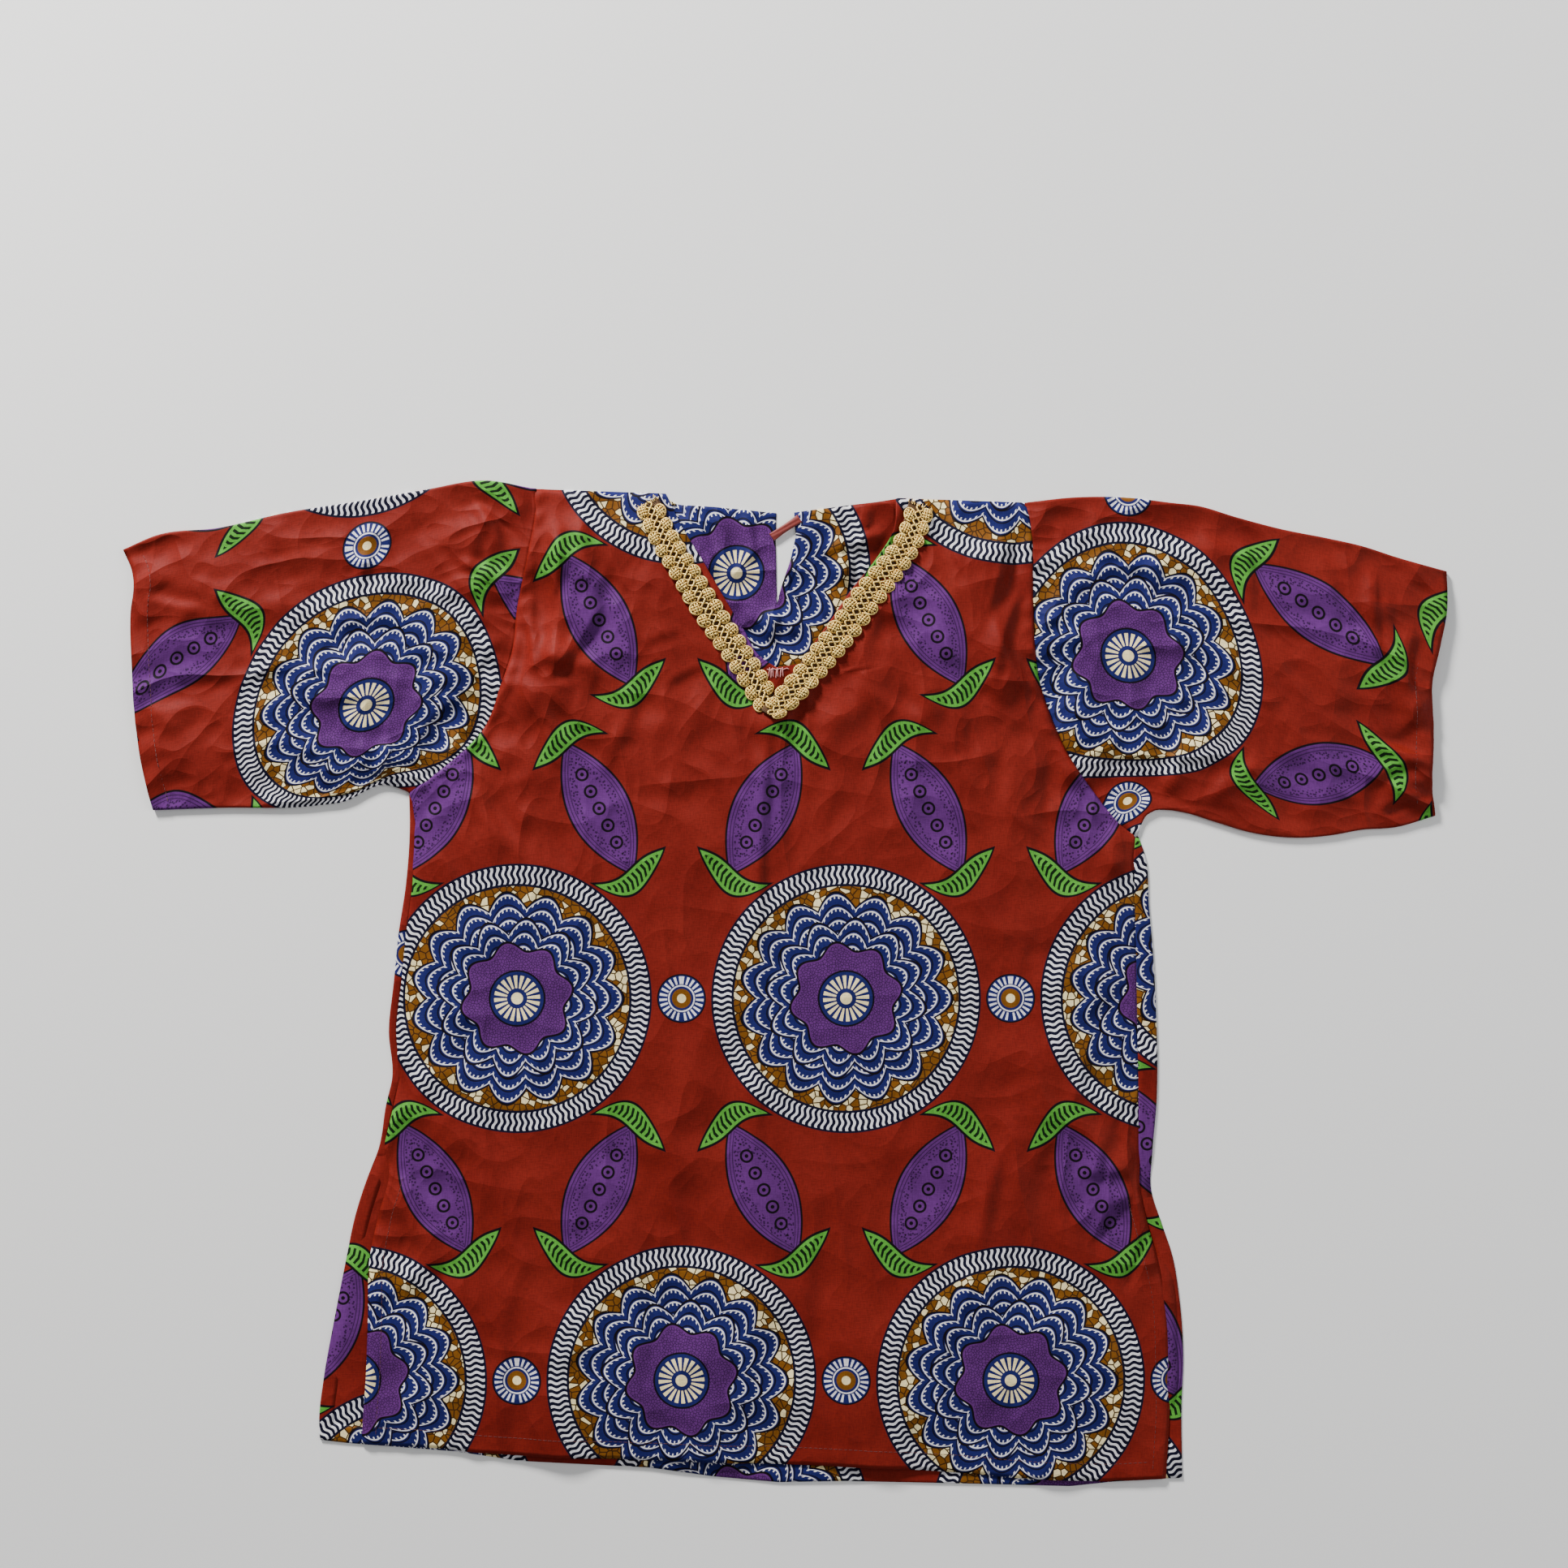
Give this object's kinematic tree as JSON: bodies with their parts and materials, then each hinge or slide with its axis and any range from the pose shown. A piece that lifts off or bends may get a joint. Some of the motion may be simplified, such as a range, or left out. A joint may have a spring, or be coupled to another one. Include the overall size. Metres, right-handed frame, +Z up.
{
  "type": "african print blouse laid flat",
  "caption": "Child's V-neck tunic blouse in wax-print cotton with short sleeves, side slits and gold neck braid, laid flat face up.",
  "frame": {"origin": "centre of the bounding box, on the surface that the garment lies on", "axes": "+X to the viewer's right across the garment, +Y from the hem to the shoulders, +Z up from the surface"},
  "size_m": [0.767, 0.5822, 0.0091],
  "materials": {
    "printed_cotton": "plain-weave cotton with a soft sheen, printed all over in brick red, purple, navy, cream, ochre and green",
    "gold_braid": "metallic gold gimp braid with scalloped edges",
    "red_cotton": "plain red cotton, stitched"
  },
  "bodies": {
    "root": {"front": "printed_cotton", "back": "printed_cotton", "sleeve_left": "printed_cotton", "sleeve_right": "printed_cotton", "neck_braid": "gold_braid", "back_tab": "red_cotton"}
  },
  "joints": []
}
